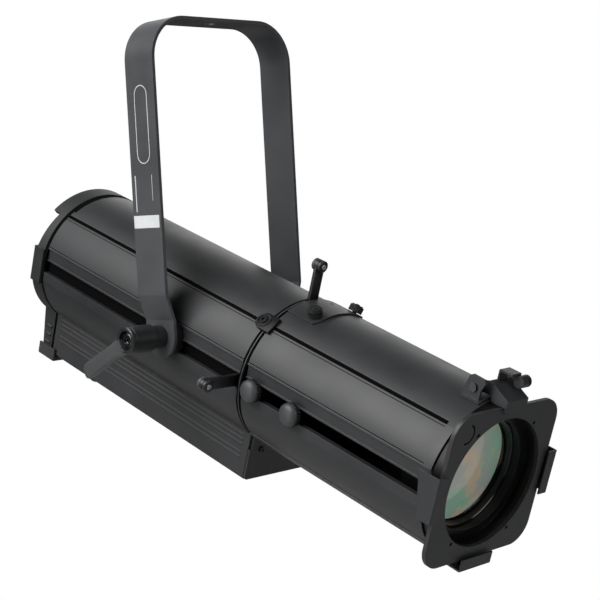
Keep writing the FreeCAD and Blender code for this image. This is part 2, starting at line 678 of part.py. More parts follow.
def make_knob(place):
    """Knurled knob with a smooth domed end on a clamping screw."""
    at = Vector(-KNOB_BACK, place, SLOT_MID)
    grip = Part.makeCylinder(KNOB_RADIUS, KNOB_FACE - KNOB_BACK, at, Vector(-1, 0, 0))
    grip = bevelled(grip, 1.6, lambda e: isinstance(e.Curve, Part.Circle)
                    and e.BoundBox.XMax < -KNOB_FACE + 0.01)
    cuts = []
    for k in range(24):
        a = 2 * pi * k / 24
        y = place + (KNOB_RADIUS + 0.25) * cos(a)
        z = SLOT_MID + (KNOB_RADIUS + 0.25) * sin(a)
        cuts.append(rod(0.8, (-KNOB_BACK + 1, y, z), (-KNOB_FACE + 3.2, y, z)))
    shank = rod(3.0, (-KNOB_BACK - 1, place, SLOT_MID), (-SCREW_DEPTH - 0.3, place, SLOT_MID))
    return grip.cut(cuts).fuse(shank)


for name, place in (("focus", FOCUS_PLACE), ("zoom", ZOOM_PLACE)):
    export_lamp(make_carriage(place), f"{name}_carriage")
    export_lamp(make_lens(LENS_RADIUS, place - 1, 6.0, 5.0), f"{name}_lens")
    export_lamp(make_knob(place), f"{name}_knob")

BARREL_FRONT = -304.0
rods = [disc(ROD_RADIUS, BARREL_FRONT + 3, -103.1, 0, s * ROD_OFFSET) for s in (-1, 1)]
export_lamp(Part.makeCompound(rods), "guide_rods")


# ---- front end ----------------------------------------------------------
def make_lens_barrel():
    """Nose casting: flange ring outside, lens barrel inside, pads for the frame clips."""
    barrel = ring(50.0, 47.6, BARREL_FRONT, -268)
    rim_lip = ring(50.0, 46.0, BARREL_FRONT, BARREL_FRONT + 1.6)
    web = ring(CLEAR_RADIUS, 49.5, BARREL_FRONT, BARREL_FRONT + 3)
    nose = ring(64.4, OPENING, PLATE_FRONT + PLATE_THICK, BARREL_FRONT + 0.2)
    seat = ring(48.0, 45.5, -272, -268)
    pad = box(58.0, CLIP_FACE, -311.5, -307, -13, 11)
    pads = [pad, mirrored(pad), turned(pad, 90, Y)]
    return join([barrel, rim_lip, web, nose, seat] + pads)


def make_front_plate():
    plate = rounded_rectangle(PLATE_HALF, PLATE_HALF, PLATE_CORNER, PLATE_FRONT,
                              PLATE_FRONT + PLATE_THICK)
    plate = plate.cut(disc(OPENING, -320, -310))
    small = [disc(1.6, -320, -310, s * 34.0, t * 45.0) for s in (-1, 1) for t in (-1, 1)]
    return plate.cut(small)


CLIP_HALF = 18.5
CLIP_THICK = 1.3
CLIP_REACH = 10.5
clip_back = PLATE_FRONT - FRAME_GAP
clip_front = clip_back - CLIP_THICK


def make_clip():
    """Bent strap: a leg past the plate's edge and a lip in front of it."""
    top, foot = CLIP_HALF, -CLIP_HALF
    side_view = [(clip_front, foot), (clip_front, top), (-298, top), (-306, foot)]
    leg = polygon([(CLIP_FACE, y, z) for y, z in side_view], Vector(CLIP_THICK, 0, 0))
    outer = CLIP_FACE + CLIP_THICK
    lip = box(outer - CLIP_REACH, outer, clip_front, clip_back, foot, top)
    clip = join([leg, lip])
    return bevelled(clip, 1.1, lambda e: abs(e.BoundBox.YMin - clip_front) < 0.01
                    and e.BoundBox.ZLength > 30 and e.BoundBox.XMin > CLIP_FACE)


LATCH_HALF = 12.5
LATCH_PIVOT = (-293.0, 72.5)
LATCH_PIN = 2.0


def make_latch_bracket():
    """Two ears on a saddle that follows the tube."""
    saddle = arc_plate(TUBE + 1.6, TUBE + 0.05, 90 - 21, 90 + 21, -302, -284)
    side_view = [(-300, 58), (-300, 72), (-303, 79), (-301, 81.6), (-290, 82), (-287, 80),
                 (-284, 67), (-284, 58)]
    ear = polygon([(-22, y, z) for y, z in side_view], Vector(2.0, 0, 0))
    ear = ear.cut(disc(TUBE + 0.05, -310, -280))
    ear = ear.cut(rod(LATCH_PIN + RUNNING, (-30, *LATCH_PIVOT), (30, *LATCH_PIVOT)))
    return join([saddle, ear, mirrored(ear)])


def make_latch_arm():
    """Sprung hood: side cheeks, sloping top, front lip, and a bent finger tab with a roller."""
    t = 1.4
    roof_rear, roof_front = (-299.5, 79.6), (clip_front, 70.4)
    top = [roof_rear, roof_front, (clip_front, 60.3), (clip_back, 60.3), (clip_back, 69.4),
           (roof_rear[0], 78.1)]
    roof = polygon([(-LATCH_HALF, y, z) for y, z in top], Vector(2 * LATCH_HALF, 0, 0))
    cheek_line = [(-288.5, 70.5), (-289.5, 76.0), (-299.0, 79.0), (clip_back, 70.0),
                  (clip_back, 64.2), (-304.4, 64.2), (-303.0, 68.4), (-291.0, 68.4)]
    cheek = polygon([(-LATCH_HALF, y, z) for y, z in cheek_line], Vector(t, 0, 0))
    riser = box(-4.5, 6.5, -301.0, -299.5, 78.4, 88.2)
    shelf = box(-4.5, 6.5, -312.0, -299.5, 86.0, 88.2)
    shelf = bevelled(join([riser, shelf]), 1.4, lambda e: e.BoundBox.XLength > 10
                     and e.BoundBox.ZMin > 88 and e.BoundBox.YMin > -300)
    at = (-313.6, 81.8)
    roller = rod(4.8, (3.0, *at), (13.0, *at))
    grooves = [rod(5.4, (x, *at), (x + 0.9, *at)).cut(rod(4.1, (x - 1, *at), (x + 2, *at)))
               for x in (9.6, 11.2)]
    arm = join([roof, cheek, mirrored(cheek), shelf, roller.cut(grooves)])
    return arm.cut(rod(LATCH_PIN + RUNNING, (-30, *LATCH_PIVOT), (30, *LATCH_PIVOT)))


def make_latch_pin():
    body = rod(LATCH_PIN, (-23.5, *LATCH_PIVOT), (23.5, *LATCH_PIVOT))
    heads = [rod(3.6, (s * 22.05, *LATCH_PIVOT), (s * 23.8, *LATCH_PIVOT)) for s in (-1, 1)]
    return join([body] + heads)


def make_latch_spring():
    """Torsion coil round the pin."""
    pitch, turns, mean, wire = 1.45, 3.5, 3.4, 0.6
    path = Part.makeHelix(pitch, pitch * turns, mean)
    section = Part.Wire(Part.makeCircle(wire, Vector(mean, 0, 0), Vector(0, 1, 0)))
    coil = Part.Wire(path).makePipeShell([section], True, True)
    coil = turned(coil, 90, Y)
    return moved(coil, -19.2, *LATCH_PIVOT)


export_lamp(make_lens_barrel(), "lens_barrel")
export_lamp(make_lens(47.4, -276, 4.0, 7.0), "front_lens")
export_lamp(make_front_plate(), "front_plate")
side_clip = moved(make_clip(), z=SLOT_MID)
clips = [side_clip, mirrored(side_clip), turned(make_clip(), 90, Y)]
export_lamp(Part.makeCompound(clips), "frame_clips")
export_lamp(make_latch_bracket(), "latch_bracket")
export_lamp(make_latch_arm(), "latch_arm")
export_lamp(make_latch_pin(), "latch_pin")
export_lamp(make_latch_spring(), "latch_spring")


# ---- cover plate, catches, brackets and fasteners -----------------------
def make_gobo_cover():
    """Curved cover over the accessory slot, with chamfered front corners."""
    cover = arc_plate(TUBE + 1.5, TUBE + 0.05, 63.5, 116.5, -132.5, SEAM_FRONT)
    corner = [(22.5, -133, 40), (35, -133, 40), (35, -127.5, 40)]
    chamfer = polygon(corner, Vector(0, 0, 40))
    dimples = [rod(1.5, (x, -111, 60), (x, -111, 75)) for x in (-9.5, 9.5)]
    return cover.cut([chamfer, mirrored(chamfer)] + thumb_holes + dimples)


def make_thumbscrew(side):
    """Knurled head with a stepped top, on a screw through the tube."""
    head = rod(THUMB_RADIUS, on_top(TUBE + 2.0, side), on_top(TUBE + 7.6, side))
    crown = rod(THUMB_RADIUS - 1.1, on_top(TUBE + 7.0, side), on_top(TUBE + 8.6, side))
    button = rod(1.7, on_top(TUBE + 8.0, side), on_top(TUBE + 9.2, side))
    shank = rod(THUMB_SHANK, on_top(60, side), on_top(TUBE + 3, side))
    cuts = []
    axis = Vector(*on_top(1, side, 0))
    for k in range(18):
        groove = rod(0.7, on_top(TUBE + 3.0, side), on_top(TUBE + 6.8, side))
        groove = moved(groove, y=THUMB_RADIUS + 0.2)
        cuts.append(turned(groove, 20 * k, axis, on_top(0, side)))
    return join([head.cut(cuts), crown, button, shank])


def make_seam_clips():
    """Small round-ended plates that lock the front tube to the housing across the seam."""
    place, lean = -93.0, 43.0
    plan = join([rod(9.5, (0, place, 60), (0, place, 80)),
                 box(-9.5, 9.5, place - 15.5, place, 60, 80)])
    plate = arc_plate(TUBE + 3.6, TUBE + 0.05, 75, 105, place - 16, place + 10).common(plan)
    head = rod(3.2, (0, place, TUBE + 2), (0, place, TUBE + 5.0))
    socket = rod(1.6, (0, place, TUBE + 3.4), (0, place, TUBE + 6))
    return both_sides(turned(join([plate, head]).cut(socket), lean, Y))


def make_pivot_bosses():
    """Round bosses on the body's sides that carry the tilt bolts."""
    face = TAB_INNER - WASHER_THICK - 0.1
    boss = rod(17.5, (62.0, 0, PIVOT_RISE), (face, 0, PIVOT_RISE))
    boss = boss.cut([side_shell(-30, 30, SLOT_BOTTOM + 0.3), lower_shell(-30, 30),
                     rod(PIVOT_BOLT + RUNNING, (40, 0, PIVOT_RISE), (90, 0, PIVOT_RISE))])
    return both_sides(boss)


def make_pivot_bolts():
    near = rod(PIVOT_BOLT, (-TUBE - 0.4, 0, PIVOT_RISE), (-HUB_START - 4.5, 0, PIVOT_RISE))
    far = rod(PIVOT_BOLT, (TUBE + 0.4, 0, PIVOT_RISE), (TAB_HALF + 3, 0, PIVOT_RISE))
    head = rod(9.0, (TAB_HALF + 0.3, 0, PIVOT_RISE), (TAB_HALF + 6.5, 0, PIVOT_RISE))
    flats = [turned(box(TAB_HALF, TAB_HALF + 8, -12, 12, PIVOT_RISE + 7.8, PIVOT_RISE + 12),
                    60 * k, X, (0, 0, PIVOT_RISE)) for k in range(6)]
    return Part.makeCompound([near, join([far, head.cut(flats)])])


def make_screw(x, y, z, direction):
    """Pan head screw head standing on a face."""
    at, way = Vector(x, y, z), Vector(*direction)
    head = Part.makeCylinder(2.8, 1.7, at, way)
    recess = Part.makeCylinder(1.2, 1.2, at + way * 0.7, way)
    return head.cut(recess)


def make_cover_screws():
    front = [make_screw(s * 26.3, BOX_FRONT - WALL, -68.0, (0, -1, 0)) for s in (-1, 1)]
    cap = [make_screw(s * x, PANEL_FACE, z, (0, 1, 0)) for s in (-1, 1)
           for x, z in ((50.0, 12.0), (33.0, -87.0))]
    rails = [make_screw(0, y, BOX_BOTTOM, (0, 0, -1)) for y in (-85, 175)]
    return Part.makeCompound(front + cap + rails)


def make_safety_eye():
    """Steel loop for a safety bond, under the driver box."""
    top, place, leg, bend, wire = BOX_BOTTOM - 2, 163, 8, 11, 2.5
    base = box(-19, 19, place - 7, place + 7, top, BOX_BOTTOM - 0.02)
    arch = Part.makeTorus(bend, wire, Vector(0, place, top - leg), Y, 0, 360)
    arch = arch.common(box(-20, 20, place - 5, place + 5, top - leg - 20, top - leg))
    legs = [rod(wire, (s * bend, place, top - leg), (s * bend, place, top)) for s in (-1, 1)]
    return join([base, arch] + legs)


export_lamp(make_gobo_cover(), "gobo_cover")
export_lamp(make_thumbscrew(-1), "thumbscrew_near")
export_lamp(make_thumbscrew(1), "thumbscrew_far")
export_lamp(make_seam_clips(), "seam_clips")
export_lamp(make_pivot_bosses(), "pivot_bosses")
export_lamp(make_pivot_bolts(), "pivot_bolts")
export_lamp(make_cover_screws(), "cover_screws")
export_lamp(make_safety_eye(), "safety_eye")
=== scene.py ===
"""Looks of a stage spotlight on a yoke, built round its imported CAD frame.

Everything is in metres in the row frame. Lamp pieces are drawn in the lamp's own frame, in
millimetres: the beam runs towards -Y along the optical axis, Z is up and X is the tilt axis.
"""
import json
from math import cos, pi, radians, sin, sqrt

import bmesh
import bpy
from mathutils import Euler, Matrix, Vector


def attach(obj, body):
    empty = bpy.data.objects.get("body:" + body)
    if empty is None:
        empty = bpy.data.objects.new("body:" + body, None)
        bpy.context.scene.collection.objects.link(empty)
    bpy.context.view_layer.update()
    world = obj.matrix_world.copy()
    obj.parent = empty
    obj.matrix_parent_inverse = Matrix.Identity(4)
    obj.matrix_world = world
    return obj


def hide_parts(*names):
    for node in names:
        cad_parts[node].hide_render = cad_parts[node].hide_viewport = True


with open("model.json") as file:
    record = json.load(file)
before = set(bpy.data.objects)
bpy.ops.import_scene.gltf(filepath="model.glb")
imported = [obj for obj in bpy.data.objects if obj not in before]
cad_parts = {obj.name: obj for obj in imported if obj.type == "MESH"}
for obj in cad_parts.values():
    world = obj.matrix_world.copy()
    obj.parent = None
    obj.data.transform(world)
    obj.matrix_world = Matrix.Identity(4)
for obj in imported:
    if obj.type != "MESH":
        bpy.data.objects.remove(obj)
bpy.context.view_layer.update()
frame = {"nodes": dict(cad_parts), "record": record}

# ---- driving dimensions -------------------------------------------------
MM = 0.001
TILT = radians(20.1)             # lamp tipped front end down
PIVOT_DROP = 273.0               # hanging hole to tilt axis
PIVOT_RISE = 2.5                 # tilt axis above the optical axis
YOKE_HALF = 81.0                 # outer face of a yoke leg from the middle
TUBE = 66.0                      # outer radius of the round body
SLOT_MID = -1.5                  # height of the knobs' slot
PLATE_FRONT = -316.0             # outer face of the front plate
PANEL_FACE = 198.5               # outer face of the rear panel
HUB_START, HUB_END = 86.0, 113.0
HUB_RADIUS = 11.8
CLAMP_BORE = 5.2                 # clearance radius for the pivot bolt
LEVER_ROOT = 7.0                 # where the clamp lever starts, from the hub's axis
LEVER_REACH = 64.0               # middle of the clamp lever's round tip, from the hub's axis
LEVER_TIP = 7.4                  # radius of that tip
LEVER_DROOP = radians(26.0)
STEM_HALF = (5.2, 1.5)           # half width and half thickness of a shutter's stem
GRIP_RADIUS = 5.2
GRIP_DEPTH = 5.4                 # from the shutter's plane to the outer face of each disc
BLADE_RADIUS, BLADE_EDGE = 56.5, 28.6    # round outside and straight cutting edge of a blade
BLADE_HALF = 0.8                 # half thickness of a blade
LENS_RADIUS = 44.4
LENS_SEAT = -279.0               # flat back of the front lens
KNOB_PLACES = {"focus": -113.0, "zoom": -160.5}
KNOB_BACK, KNOB_RADIUS = 64.9, 9.8
RIDGE = 0.7                      # depth of the knurling
SOCKET_SPREAD = 20.0
DATA_HEIGHT, POWER_HEIGHT = -46.5, -76.0
DISPLAY_HEIGHT, BUTTON_HEIGHT = -17.0, -29.6
SOCKET_DEPTH = -11.0             # floor of the rear sockets behind the panel's face
PIN_CIRCLE, PIN_COUNT = 5.2, 5
JOINT_RUNS = ((-295.0, -99.7), (-93.3, 190.0))   # lengths of tube in front of and behind the seam
CLIP_LEAN = 43.0                 # angle of each seam clip from the top, in degrees
INK = 0.06                       # thickness of printed marks
SHARP = radians(35)              # edges turned by more than this stay sharp
SKY_FLOOR, SKY_LEVEL, SKY_TOP = 0.3, 0.8, 1.6    # studio brightness below, level and overhead
LENS_PAINTED_GLOW = 0.7                  # painted glow given off by the front lens, which is no lamp
HERE = Matrix.Identity(4)

# Lamp frame in millimetres to the row frame in metres.
LAMP = (Matrix.Scale(MM, 4) @ Matrix.Translation((0, 0, -PIVOT_DROP)) @ Matrix.Rotation(TILT, 4, "X")
        @ Matrix.Translation((0, 0, -PIVOT_RISE)))
# Yoke frame with the tilt axis at height 0, in millimetres, to the row frame.
YOKE = Matrix.Scale(MM, 4) @ Matrix.Translation((0, 0, -PIVOT_DROP))


# ---- node helpers -------------------------------------------------------
def new_tree(name):
    material = bpy.data.materials.new(name)
    material.use_nodes = True
    tree = material.node_tree
    return material, tree, tree.nodes["Principled BSDF"]


def noise(tree, scale, detail=3.0, roughness=0.5, stretch=(1, 1, 1)):
    """Noise in object space, so it stays on the piece as it moves."""
    coords = tree.nodes.new("ShaderNodeTexCoord")
    mapping = tree.nodes.new("ShaderNodeMapping")
    mapping.inputs["Scale"].default_value = stretch
    tree.links.new(coords.outputs["Object"], mapping.inputs["Vector"])
    texture = tree.nodes.new("ShaderNodeTexNoise")
    texture.inputs["Scale"].default_value = scale
    texture.inputs["Detail"].default_value = detail
    texture.inputs["Roughness"].default_value = roughness
    tree.links.new(mapping.outputs["Vector"], texture.inputs["Vector"])
    return texture.outputs["Fac"]


def remap(tree, value, low, high, start=0.0, end=1.0):
    node = tree.nodes.new("ShaderNodeMapRange")
    node.inputs["From Min"].default_value = start
    node.inputs["From Max"].default_value = end
    node.inputs["To Min"].default_value = low
    node.inputs["To Max"].default_value = high
    tree.links.new(value, node.inputs["Value"])
    return node.outputs["Result"]


def blend(tree, factor, first, second):
    """Mix of two colours, each a socket or a tuple."""
    node = tree.nodes.new("ShaderNodeMix")
    node.data_type = "RGBA"
    tree.links.new(factor, node.inputs["Factor"])
    for socket, colour in ((node.inputs[6], first), (node.inputs[7], second)):
        if isinstance(colour, tuple):
            socket.default_value = (*colour, 1.0)
        else:
            tree.links.new(colour, socket)
    return node.outputs[2]


def math_node(tree, operation, first, second=0.0):
    node = tree.nodes.new("ShaderNodeMath")
    node.operation = operation
    for socket, value in ((node.inputs[0], first), (node.inputs[1], second)):
        if isinstance(value, (int, float)):
            socket.default_value = value
        else:
            tree.links.new(value, socket)
    return node.outputs[0]


def edge_mask(tree, radius):
    """Close to 1 along sharp edges and 0 on open faces."""
    rounded = tree.nodes.new("ShaderNodeBevel")
    rounded.samples = 4
    rounded.inputs["Radius"].default_value = radius
    plain = tree.nodes.new("ShaderNodeNewGeometry")
    dot = tree.nodes.new("ShaderNodeVectorMath")
    dot.operation = "DOT_PRODUCT"
    tree.links.new(rounded.outputs["Normal"], dot.inputs[0])
    tree.links.new(plain.outputs["Normal"], dot.inputs[1])
    return remap(tree, dot.outputs["Value"], 1.0, 0.0, 0.86, 0.995), rounded.outputs["Normal"]


def bump(tree, height, strength, distance, normal=None):
    node = tree.nodes.new("ShaderNodeBump")
    node.inputs["Strength"].default_value = strength
    node.inputs["Distance"].default_value = distance
    tree.links.new(height, node.inputs["Height"])
    if normal is not None:
        tree.links.new(normal, node.inputs["Normal"])
    return node.outputs["Normal"]


# ---- materials ----------------------------------------------------------
PATCH_SCALE, SPECK_SCALE = 18.0, 260.0   # uneven gloss, and the breaks in a worn edge
PAINT_EDGE, METAL_EDGE = 0.0006, 0.0004  # width of a worn edge in metres


def coated(name, base, rough, grain, grain_depth, wear_colour, wear=0.35, metallic=0.0,
           specular=0.5):
    """Paint, powder coat or moulded plastic: grain, patchy gloss, and edges worn a little lighter."""
    material, tree, shader = new_tree(name)
    edge, rounded = edge_mask(tree, PAINT_EDGE)
    patch = noise(tree, PATCH_SCALE, 4.0, 0.6)
    speck = noise(tree, SPECK_SCALE, 2.0, 0.6)
    broken = math_node(tree, "MULTIPLY", edge, remap(tree, speck, 0.0, 1.0, 0.42, 0.62))
    worn = math_node(tree, "MULTIPLY", broken, wear)
    darker = tuple(c * 0.86 for c in base)
    lighter = tuple(c * 1.14 for c in base)
    body = blend(tree, remap(tree, patch, 0.0, 1.0, 0.3, 0.7), darker, lighter)
    tree.links.new(blend(tree, worn, body, wear_colour), shader.inputs["Base Color"])
    low, high = rough * 0.88, rough * 1.14
    gloss = remap(tree, patch, low, high, 0.3, 0.7)
    tree.links.new(math_node(tree, "ADD", gloss, math_node(tree, "MULTIPLY", worn, 0.12)),
                   shader.inputs["Roughness"])
    tree.links.new(bump(tree, noise(tree, grain, 2.0, 0.5), 0.35, grain_depth, rounded),
                   shader.inputs["Normal"])
    shader.inputs["Metallic"].default_value = metallic
    shader.inputs["Specular IOR Level"].default_value = specular
    return material


TARNISH = (0.3, 0.28, 0.25)
BRUSH = 900.0                    # scale of tool marks


def metal(name, base, rough, stretch=(1, 1, 1)):
    """Bare metal with fine tool marks, dull patches and bright edges."""
    material, tree, shader = new_tree(name)
    edge, rounded = edge_mask(tree, METAL_EDGE)
    patch = noise(tree, 45.0, 4.0, 0.6)
    marks = noise(tree, BRUSH, 2.0, 0.6, stretch)
    dull = remap(tree, patch, 0.0, 0.35, 0.45, 0.8)
    body = blend(tree, dull, base, tuple(a * b for a, b in zip(base, TARNISH)))
    bright = tuple(min(1.0, c * 1.25) for c in base)
    tree.links.new(blend(tree, math_node(tree, "MULTIPLY", edge, 0.6), body, bright),
                   shader.inputs["Base Color"])
    tree.links.new(remap(tree, marks, rough * 0.8, rough * 1.3, 0.3, 0.7), shader.inputs["Roughness"])
    tree.links.new(bump(tree, marks, 0.25, 0.00006, rounded), shader.inputs["Normal"])
    shader.inputs["Metallic"].default_value = 1.0
    return material


def glass(name, tint):
    """Clear glass with a faint smear."""
    material, tree, shader = new_tree(name)
    smear = noise(tree, 30.0, 4.0, 0.6)
    shader.inputs["Base Color"].default_value = (*tint, 1.0)
    shader.inputs["Transmission Weight"].default_value = 1.0
    shader.inputs["IOR"].default_value = 1.5
    tree.links.new(remap(tree, smear, 0.0, 0.04, 0.4, 0.7), shader.inputs["Roughness"])
    return material


# Name, base colour, roughness, scale and depth of the grain, colour and amount of edge wear.
BODY = coated("body_powder", (0.02, 0.021, 0.0225), 0.46, 1500.0, 0.00008, (0.05, 0.05, 0.052))
BOX_PAINT = coated("box_powder", (0.0205, 0.021, 0.0225), 0.56, 1500.0, 0.00008, (0.02, 0.02, 0.02), 0.0)
YOKE_PAINT = coated("yoke_powder", (0.05, 0.052, 0.056), 0.46, 1300.0, 0.0001, (0.16, 0.16, 0.165))
CAP = coated("cap_moulded", (0.0125, 0.0138, 0.0145), 0.56, 1800.0, 0.00012, (0.07, 0.07, 0.07))
RUBBER = coated("bumper_rubber", (0.022, 0.022, 0.023), 0.72, 900.0, 0.0001, (0.05, 0.05, 0.05))
DARK = coated("dark_paint", (0.02, 0.021, 0.023), 0.42, 1500.0, 0.00008, (0.07, 0.07, 0.073))
KNOB = coated("knob_plastic", (0.012, 0.0125, 0.013), 0.5, 1600.0, 0.00008, (0.06, 0.06, 0.06),
              specular=0.3)
LEVER = coated("lever_plastic", (0.056, 0.059, 0.06), 0.42, 1500.0, 0.0001, (0.12, 0.12, 0.12))
ANODISED = coated("black_anodised", (0.02, 0.02, 0.023), 0.35, 2000.0, 0.00004, (0.2, 0.2, 0.2), 0.3,
                  metallic=0.6)
BUTTON = coated("button_plastic", (0.1, 0.1, 0.105), 0.4, 1800.0, 0.00005, (0.18, 0.18, 0.18))
BOARD = coated("solder_mask", (0.02, 0.12, 0.05), 0.3, 700.0, 0.00008, (0.1, 0.3, 0.15))
CERAMIC = coated("white_board", (0.75, 0.75, 0.7), 0.45, 900.0, 0.00005, (0.8, 0.8, 0.78))
DISPLAY = coated("display_gloss", (0.008, 0.012, 0.02), 0.08, 400.0, 0.00001, (0.03, 0.03, 0.03), 0.1)
# Name, base colour, roughness and direction of the tool marks.
STEEL = metal("zinc_steel", (0.52, 0.53, 0.55), 0.32)
BLACK_STEEL = metal("black_steel", (0.06, 0.06, 0.064), 0.42)
SHUTTER = metal("shutter_steel", (0.42, 0.42, 0.42), 0.3, stretch=(1, 1, 8))
ALUMINIUM = metal("machined_aluminium", (0.62, 0.63, 0.65), 0.3, stretch=(1, 6, 1))
OILED = metal("oiled_steel", (0.1, 0.1, 0.105), 0.25)
BRASS = metal("gilt_brass", (0.75, 0.55, 0.25), 0.3)
SEAM = coated("seam_black", (0.0035, 0.0036, 0.004), 0.4, 1500.0, 0.00006, (0.09, 0.09, 0.09), 0.8,
              specular=0.2)
NOSE = coated("nose_black", (0.004, 0.0042, 0.0042), 0.3, 1500.0, 0.00003, (0.03, 0.03, 0.03), specular=0.2)
GLOSS = coated("gloss_black", (0.003, 0.003, 0.003), 0.14, 1500.0, 0.00001, (0.01, 0.01, 0.01), specular=0.35)
# Paler than the body paint: a painted highlight along thin edges and on the seam's bead.
EDGE = coated("edge_sheen", (0.06, 0.062, 0.065), 0.4, 1500.0, 0.00003, (0.1, 0.1, 0.1))
# The hub is the lever's plastic with a darker base colour: a shaded copy, painted shade beside the lever's
# lighter, lit colour.
HUB_SHADED = coated("hub_plastic_shaded", (0.015, 0.016, 0.017), 0.34, 1500.0, 0.00006, (0.07, 0.07, 0.07))
GRIP = coated("grip_black", (0.012, 0.012, 0.0125), 0.42, 1500.0, 0.00006, (0.08, 0.08, 0.08))
CAP_GREY = coated("cap_grey", (0.045, 0.047, 0.05), 0.48, 1500.0, 0.00006, (0.16, 0.16, 0.16))
PRINT = coated("white_ink", (0.55, 0.57, 0.57), 0.5, 900.0, 0.00003, (0.6, 0.6, 0.6))
# Near-black and almost without sheen: painted shade for slots, grooves, joints and the parts seen through
# them.
SHADE_BLACK = coated("painted_shade_black", (0.003, 0.003, 0.003), 0.9, 900.0, 0.00003, (0.005, 0.005, 0.005), specular=0.03)
GLOW = coated("display_ink", (0.35, 0.6, 0.7), 0.4, 900.0, 0.00002, (0.4, 0.6, 0.7))
BLUE = coated("ring_blue", (0.03, 0.12, 0.4), 0.4, 900.0, 0.00005, (0.1, 0.2, 0.45))
PALE = coated("ring_pale", (0.5, 0.5, 0.5), 0.4, 900.0, 0.00005, (0.6, 0.6, 0.6))
INNER_GLASS = glass("inner_glass", (0.97, 0.98, 0.97))


def lens_coating():
    """Coated front lens: pale grey-green with soft green and rose patches under a glossy face, and a painted
    glow.
    """
    material, tree, shader = new_tree("lens_glass")
    green = noise(tree, 26.0, 3.0, 0.6)
    rose = noise(tree, 34.0, 3.0, 0.6, (1.3, 0.8, 1.0))
    tint = blend(tree, remap(tree, green, 0.0, 0.85, 0.4, 0.64), (0.165, 0.18, 0.17), (0.1, 0.22, 0.15))
    tint = blend(tree, remap(tree, rose, 0.0, 0.75, 0.49, 0.68), tint, (0.29, 0.2, 0.135))
    tree.links.new(tint, shader.inputs["Base Color"])
    tree.links.new(remap(tree, green, 0.03, 0.09), shader.inputs["Roughness"])
    shader.inputs["IOR"].default_value = 1.5
    shader.inputs["Transmission Weight"].default_value = 0.3
    shader.inputs["Coat Weight"].default_value = 0.6
    shader.inputs["Coat Roughness"].default_value = 0.03
    # Painted glow: the lens gives off its own tint as light from its front face only, though it is no lamp.
    tree.links.new(tint, shader.inputs["Emission Color"])
    coords = tree.nodes.new("ShaderNodeTexCoord")
    facing = tree.nodes.new("ShaderNodeVectorMath")
    facing.operation = "DOT_PRODUCT"
    facing.inputs[1].default_value = LAMP.to_quaternion() @ Vector((0, -1, 0))
    tree.links.new(coords.outputs["Normal"], facing.inputs[0])
    tree.links.new(remap(tree, facing.outputs["Value"], 0.0, LENS_PAINTED_GLOW, 0.2, 0.7),
                   shader.inputs["Emission Strength"])
    return material


LENS = lens_coating()

CAD_MATERIALS = {
    "yoke_steel": YOKE_PAINT, "body_black": BODY, "cap_black": CAP, "bumper_rubber": RUBBER,
    "dark_metal": DARK, "raw_aluminium": ALUMINIUM, "black_aluminium": ANODISED, "steel": STEEL,
    "black_steel": BLACK_STEEL, "shutter_steel": SHUTTER, "knob_plastic": KNOB, "lever_plastic": LEVER,
    "lens_glass": LENS, "display_gloss": DISPLAY, "button_plastic": BUTTON, "board_green": BOARD,
    "white_board": CERAMIC,
}

# Nodes that look different from the rest of their slot. The gate plates and carriages seen through the slot,
# and the seam ring and rear gasket, wear the near-black painted shade.
NODE_MATERIALS = {"focus_lens": INNER_GLASS, "zoom_lens": INNER_GLASS, "guide_rods": BLACK_STEEL,
                  "latch_pin": OILED, "pivot_bolts": BLACK_STEEL, "gate_plates": SHADE_BLACK,
                  "focus_carriage": SHADE_BLACK, "zoom_carriage": SHADE_BLACK, "seam_ring": SHADE_BLACK,
                  "lens_barrel": NOSE, "rear_gasket": SHADE_BLACK, "driver_box": BOX_PAINT,
                  "safety_eye": BLACK_STEEL, "power_supply": BLACK_STEEL}


def dress_cad():
    """Give each CAD node its finish."""
    for part in frame["record"]["subparts"]:
        node = frame["nodes"][part["node"]]
        node.data.materials.clear()
        node.data.materials.append(NODE_MATERIALS.get(part["node"], CAD_MATERIALS[part["material_slot"]]))


dress_cad()


# ---- mesh helpers (millimetres) -----------------------------------------
def aim(point, direction):
    """Local Z along a direction, starting at a point."""
    turn = Vector(direction).to_track_quat("Z", "Y").to_matrix().to_4x4()
    return Matrix.Translation(point) @ turn


def face_frame(point, across, up):
    """Local X across and local Y up on a flat face, with local Z out of it."""
    across, up = Vector(across), Vector(up)
    turn = Matrix((across, up, across.cross(up))).transposed().to_4x4()
    return Matrix.Translation(point) @ turn


def lathe(profile, steps=48, ridged=()):
    """Surface of revolution about Z through (radius, height) points, with ridges on some of them."""
    mesh = bmesh.new()
    rings = []
    for number, (radius, height) in enumerate(profile):
        depth = RIDGE if number in ridged else 0.0
        if radius == 0:
            rings.append([mesh.verts.new((0, 0, height))] * steps)
        else:
            radii = [radius - depth * (k % 4 >= 2) for k in range(steps)]
            rings.append([mesh.verts.new((r * cos(2 * pi * k / steps), r * sin(2 * pi * k / steps), height))
                          for k, r in enumerate(radii)])
    for low, high in zip(rings, rings[1:]):
        for k in range(steps):
            corners = [low[k], low[(k + 1) % steps], high[(k + 1) % steps], high[k]]
            mesh.faces.new(list(dict.fromkeys(corners)))
    return mesh


def slab(outline, low, high, bevel=0.0):
    """Outline in local XY, extruded from low to high, with all its edges eased when a bevel is given."""
    mesh = bmesh.new()
    bottom = [mesh.verts.new((x, y, low)) for x, y in outline]
    face = mesh.faces.new(bottom)
    lifted = bmesh.ops.extrude_face_region(mesh, geom=[face])["geom"]
    bmesh.ops.translate(mesh, vec=(0, 0, high - low),
                        verts=[v for v in lifted if isinstance(v, bmesh.types.BMVert)])
    if bevel:
        bmesh.ops.bevel(mesh, geom=list(mesh.edges), offset=bevel, segments=2, profile=0.5,
                        affect="EDGES")
    return mesh


